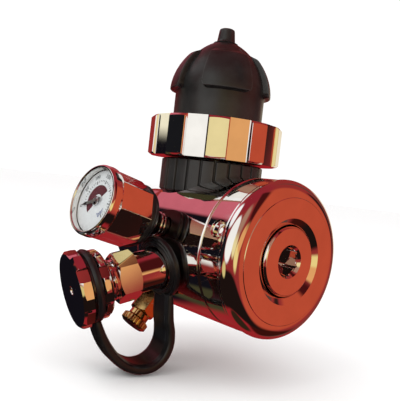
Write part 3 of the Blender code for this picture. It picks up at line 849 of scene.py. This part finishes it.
def make_strap():
    """Rubber strap: ridged eye on the barrel, hanging band with ridges inside, eye in the plug's groove."""
    along = outlet.to_3x3() @ Vector((0, 0, 1))
    square_on = Vector((0, along.y, along.z))
    barrel_eye = axis_frame(outlet.translation + (along - square_on) * EYE_HEIGHT, square_on)
    eye = lathe("strap_band", barrel_eye, [
        (6.3, 23.05), (8.8, 23.05, 0.5), (9.25, 23.7, 0.5), (9.15, 24.7, 0.4), (8.7, 25.1, 0.25),
        (8.3, 24.85, 0.2), (8.0, 25.25, 0.25), (7.4, 25.4, 0.3), (7.05, 25.05, 0.2), (6.75, 25.3, 0.2),
        (6.3, 25.15, 0.2)])
    path = [(24.15, 7.6, 5.2, 1.0), (24.6, 10.9, 5.3, 1.1), (25.3, 15.0, 5.4, 1.25), (25.5, 18.7, 5.5, 1.3),
            (26.5, 22.5, 5.5, 1.3), (29.1, 25.7, 5.5, 1.3), (32.9, 27.1, 5.4, 1.3), (36.9, 26.4, 5.2, 1.3),
            (40.3, 24.1, 4.9, 1.3), (43.0, 20.5, 4.6, 1.3), (44.8, 15.9, 4.3, 1.2), (45.7, 11.2, 4.1, 1.0),
            (45.85, 9.0, 3.9, 0.95)]
    fine = smooth_path([list(point) for point in path], 6)
    turns = [2 * math.pi * k / 48 for k in range(48)]
    rows = []
    for i, (height, drop, half, thick) in enumerate(fine):
        before, after = fine[max(i - 1, 0)], fine[min(i + 1, len(fine) - 1)]
        run = Vector((0, before[1] - after[1], after[0] - before[0])).normalized()
        outward = Vector((0, run.z, -run.y))
        centre = Vector((0, -drop, height))
        row = []
        for a in turns:
            u = math.copysign(abs(math.cos(a)) ** 0.35, math.cos(a))
            v = math.copysign(abs(math.sin(a)) ** 0.5, math.sin(a))
            ridge = 0.22 * math.cos(3.2 * math.pi * u) * smoothstep((0.85 - abs(u)) / 0.2) if v > 0.6 else 0
            row.append(centre + Vector((u * half, 0, 0)) + (v * thick + ridge) * outward)
        rows.append(row)
    band = to_object("tool", skin(rows, False), outlet)
    combine(eye, band, "UNION")
    plug_eye = lathe("tool", outlet, [
        (8.05, 44.85), (9.9, 44.85, 0.4), (10.3, 45.85, 0.5), (9.9, 46.85, 0.4), (8.05, 46.85)])
    combine(eye, plug_eye, "UNION")
    strap = shade(eye, 40)
    strap.data.materials.clear()
    strap.data.materials.append(FINISHES["rubber"])
    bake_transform(strap)
    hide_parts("strap")


# ---- relief valve and spare ports ----------------------------------------------
def make_relief():
    low, high, _ = span("relief_body", relief)
    nut = polygon(6, 7.6)
    shell = lathe("relief_shell", relief, [
        (1.2, low), (3.3, low), (3.3, 22.6), (3.7, 22.8), (4.5, 23.4), (4.5, 29.5), (3.7, 30.2),
        (3.2, 30.4), (3.2, high), (2.3, high), (2.3, low + 2.8), (1.2, low + 2.8)], 96)
    combine(shell, shaped("tool", relief, [(low - 1, nut), (high + 1, nut)]), "INTERSECT")
    finish_piece(rounded_edges(shell, 0.1), "relief_body")
    low, high, radius = span("relief_cap", relief)
    ridge = bump_band(24, 7.5, 1.5, 0)

    def knurl(a):
        return radius - 0.25 * (1 - ridge(a))

    rings = [(low, 1.0), (low, radius - 0.5), (low + 0.35, knurl), (high - 0.55, knurl),
             (high - 0.3, radius - 0.35), (high, radius - 0.8), (high, 1.0)]
    finish_piece(shaped("relief_knob", relief, rings, 360, hollow=True), "relief_cap")


def make_spare_ports():
    for i, axis in enumerate(spares):
        low, high, radius = span("port_plug_%d" % i, axis)
        plug = lathe("spare_plug_%d" % i, axis, [
            (0, low), (3.8, low), (3.8, high - 2.9), (radius - 0.2, high - 2.9, 0.2),
            (radius, high - 2.4, 0.2), (radius, high - 0.8, 0.5), (radius - 0.8, high, 0.3),
            (0, high)], 120)
        socket = polygon(6, 5.0)
        combine(plug, shaped("tool", axis, [(high - 2.3, socket), (high + 1, socket)]), "DIFFERENCE")
        finish_piece(rounded_edges(plug, 0.08), "port_plug_%d" % i)
        low, high, radius = span("port_oring_%d" % i, axis)
        ring = lathe("spare_oring_%d" % i, axis, [
            (4.1, low), (radius, low, 0.35), (radius, high, 0.35), (4.1, high)], 96)
        finish_piece(ring, "port_oring_%d" % i)


# ---- inside ----------------------------------------------------------------------
def soft_copy(name, node):
    """A piece with the CAD node's own shape and the finish of its slot; the node is hidden."""
    piece = bpy.data.objects.new(name, frame["nodes"][node].data.copy())
    bpy.context.scene.collection.objects.link(piece)
    piece.data.materials.clear()
    piece.data.materials.append(FINISHES[slot_of_node[node]])
    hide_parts(node)
    return piece


def make_springs():
    for node, axis, inner, outer in (("main_spring", main, "base", "adjuster_slide"),
                                     ("poppet_spring", main, "base", "valve"),
                                     ("relief_spring", relief, "relief", "base")):
        low, high, _ = span(node, axis)
        coil = soft_copy(node + "_coil", node)
        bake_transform(coil)
    low, _, _ = span("diaphragm", main)
    sheet = soft_copy("diaphragm_sheet", "diaphragm")
    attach(sheet, "base")
    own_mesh(sheet)


def dress_cad_nodes():
    """Give the pieces inside, which keep their CAD shape, the finish of their slot."""
    for node, obj in frame["nodes"].items():
        for material_slot in obj.material_slots:
            material_slot.material = FINISHES[slot_of_node[node]]


# ---- floor, light and camera ---------------------------------------------------
def make_stage():
    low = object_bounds()[0]
    bm = bmesh.new()
    bmesh.ops.create_grid(bm, x_segments=1, y_segments=1, size=6000)
    floor = to_object("floor", bm, Matrix.Translation((0, 0, low.z - FLOOR_GAP)))
    material = bpy.data.materials.new("pale_floor")
    tree, shader = nodes_of(material)
    shader.inputs["Base Color"].default_value = (0.98, 0.98, 0.98, 1)
    shader.inputs["Roughness"].default_value = 0.9
    shader.inputs["Specular IOR Level"].default_value = 0.1
    ray = tree.nodes.new("ShaderNodeLightPath")
    clear = tree.nodes.new("ShaderNodeBsdfTransparent")
    mix = tree.nodes.new("ShaderNodeMixShader")
    link(tree, ray.outputs["Is Glossy Ray"], mix.inputs["Fac"])
    link(tree, shader.outputs["BSDF"], mix.inputs[1])
    link(tree, clear.outputs["BSDF"], mix.inputs[2])
    link(tree, mix.outputs["Shader"], tree.nodes["Material Output"].inputs["Surface"])
    floor.data.materials.append(material)

    world = bpy.data.worlds.new("studio")
    world.use_nodes = True
    world.cycles.sampling_method = "NONE"
    tree = world.node_tree
    ray = tree.nodes.new("ShaderNodeLightPath")
    where = tree.nodes.new("ShaderNodeTexCoord")
    shown = blend_colours(tree, ray.outputs["Is Glossy Ray"], (1.0, 1.0, 1.0),
                          room_colour(tree, where.outputs["Generated"]))
    link(tree, shown, tree.nodes["Background"].inputs["Color"])
    tree.nodes["Background"].inputs["Strength"].default_value = 1.04
    bpy.context.scene.world = world
    for name, azimuth, elevation, distance, size, power in (
            ("key_light", -15, 50, 0.7, 0.5, 1.5), ("fill_light", 120, 35, 0.9, 0.8, 1.0)):
        light = bpy.data.lights.new(name, "AREA")
        light.size = size
        light.energy = power
        lamp = bpy.data.objects.new(name, light)
        lamp.location = Vector(joints["handwheel_turn"]["pos_m"]) + compass(azimuth, elevation) * distance
        lamp.rotation_euler = compass(azimuth, elevation).to_track_quat("Z", "Y").to_euler()
        lamp.visible_glossy = False
        bpy.context.scene.collection.objects.link(lamp)
    bpy.context.scene.view_settings.view_transform = "Standard"


def make_camera():
    crossing = Vector(joints["handwheel_turn"]["pos_m"])
    up = Vector((0, 0, 1))
    back = compass(CAMERA_AZIMUTH, CAMERA_ELEVATION)
    right = up.cross(back).normalized()
    place = crossing + back * CAMERA_DISTANCE
    target = crossing + right * CAMERA_AIM_RIGHT + back.cross(right) * CAMERA_AIM_UP
    back = (place - target).normalized()
    right = up.cross(back).normalized()
    level = Matrix((right, back.cross(right), back)).transposed()
    turn = level @ Matrix.Rotation(math.radians(CAMERA_ROLL), 3, "Z")
    data = bpy.data.cameras.new("camera")
    data.lens = CAMERA_LENS
    data.clip_start = 0.005
    camera = bpy.data.objects.new("camera", data)
    camera.matrix_world = Matrix.Translation(place) @ turn.to_4x4()
    bpy.context.scene.collection.objects.link(camera)
    bpy.context.scene.camera = camera


make_body()
make_clamp()
make_adjuster()
make_handwheel()
make_collar()
make_dust_cap()
make_gauge_joint()
make_gauge_head()
make_outlet()
make_strap()
make_relief()
make_spare_ports()
make_springs()
dress_cad_nodes()
make_stage()
make_camera()

bpy.context.view_layer.update()
